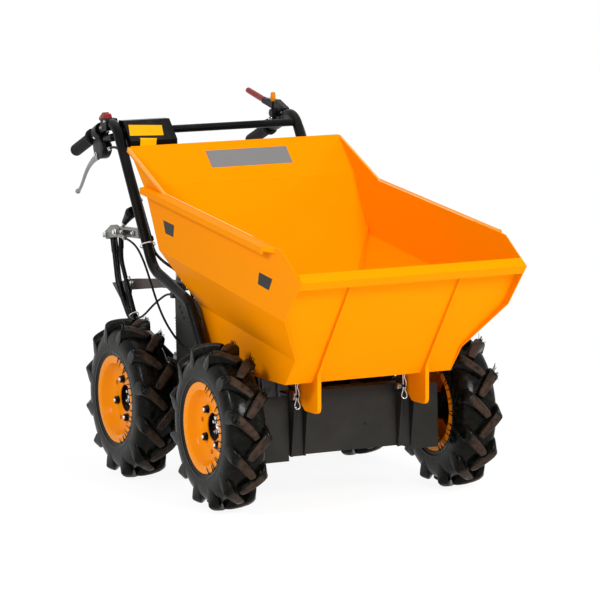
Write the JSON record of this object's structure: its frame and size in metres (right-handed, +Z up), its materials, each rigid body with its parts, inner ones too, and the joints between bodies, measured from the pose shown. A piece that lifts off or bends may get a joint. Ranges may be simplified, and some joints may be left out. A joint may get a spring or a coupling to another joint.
{
  "type": "walk-behind mini dumper",
  "caption": "Walk-behind petrol mini dumper with a front-tipping steel skip, chevron-tread wheels on a low chassis, and a handlebar with levers at the rear.",
  "frame": {"origin": "middle of the overall length and width, on the ground under the tyres", "axes": "+Z up; the machine drives and tips towards -Y and the operator walks at +Y; the operator's right hand is at -X"},
  "size_m": [0.752, 1.5336, 0.9798],
  "materials": {
    "orange_paint": "semi-gloss orange-yellow powder coat",
    "chassis_paint": "satin anthracite powder coat",
    "black_paint": "satin black paint",
    "tyre_rubber": "moulded black tyre rubber",
    "black_rubber": "matt black rubber",
    "zinc_steel": "zinc-plated steel",
    "cast_aluminium": "cast aluminium",
    "black_plastic": "moulded black plastic",
    "engine_paint": "gloss black pressed steel",
    "exhaust_steel": "heat-marked steel",
    "cable_sheath": "black cable sheath"
  },
  "bodies": {
    "chassis": {"axles_front": "zinc_steel", "axles_rear": "zinc_steel", "belt_cover": "chassis_paint", "brake_lever": "cast_aluminium", "cable_brake": "cable_sheath", "cable_clutch": "cable_sheath", "cable_gear": "cable_sheath", "cable_hose": "cable_sheath", "cable_link": "cable_sheath", "chain_case_left": "chassis_paint", "chain_case_right": "chassis_paint", "clutch_lever": "black_plastic", "control_box": "chassis_paint", "engine_air_filter": "black_plastic", "engine_block": "cast_aluminium", "engine_cylinder": "cast_aluminium", "engine_deck": "chassis_paint", "engine_muffler": "exhaust_steel", "engine_starter": "engine_paint", "engine_tank": "engine_paint", "front_panel": "chassis_paint", "front_posts": "chassis_paint", "gear_arm": "cast_aluminium", "gear_lever": "black_plastic", "gear_rod": "black_plastic", "gearbox": "cast_aluminium", "grip_left": "black_rubber", "grip_right": "black_rubber", "handle_brackets": "chassis_paint", "handle_crossbar": "chassis_paint", "handle_tube_left": "chassis_paint", "handle_tube_right": "chassis_paint", "hinge_pins": "zinc_steel", "ignition_switch": "black_plastic", "lower_arm": "chassis_paint", "rear_panel": "chassis_paint", "rest_pads": "black_rubber", "sheath_bundles": "cable_sheath", "skip_latch": "zinc_steel", "throttle_lever": "black_plastic"},
    "skip": {"skip_back_wall": "orange_paint", "skip_floor": "orange_paint", "skip_front_wall": "orange_paint", "skip_lug_left": "orange_paint", "skip_lug_right": "orange_paint", "skip_side_left": "orange_paint", "skip_side_right": "orange_paint"},
    "wheel_front_right": {"hub_front_right": "black_paint", "rim_front_right": "orange_paint", "tyre_front_right": "tyre_rubber"},
    "wheel_front_left": {"hub_front_left": "black_paint", "rim_front_left": "orange_paint", "tyre_front_left": "tyre_rubber"},
    "wheel_rear_right": {"hub_rear_right": "black_paint", "rim_rear_right": "orange_paint", "tyre_rear_right": "tyre_rubber"},
    "wheel_rear_left": {"hub_rear_left": "black_paint", "rim_rear_left": "orange_paint", "tyre_rear_left": "tyre_rubber"}
  },
  "joints": [
    {"name": "skip_tip", "type": "hinge", "parent": "chassis", "child": "skip", "pos_m": [0, -0.4166, 0.29], "axis": [1, 0, 0], "range_deg": [0, 70]},
    {"name": "wheel_front_right_spin", "type": "hinge", "parent": "chassis", "child": "wheel_front_right", "pos_m": [-0.323, -0.3046, 0.211], "axis": [1, 0, 0], "continuous": true},
    {"name": "wheel_front_left_spin", "type": "hinge", "parent": "chassis", "child": "wheel_front_left", "pos_m": [0.323, -0.3046, 0.211], "axis": [1, 0, 0], "continuous": true},
    {"name": "wheel_rear_right_spin", "type": "hinge", "parent": "chassis", "child": "wheel_rear_right", "pos_m": [-0.323, 0.2634, 0.211], "axis": [1, 0, 0], "continuous": true},
    {"name": "wheel_rear_left_spin", "type": "hinge", "parent": "chassis", "child": "wheel_rear_left", "pos_m": [0.323, 0.2634, 0.211], "axis": [1, 0, 0], "continuous": true}
  ]
}
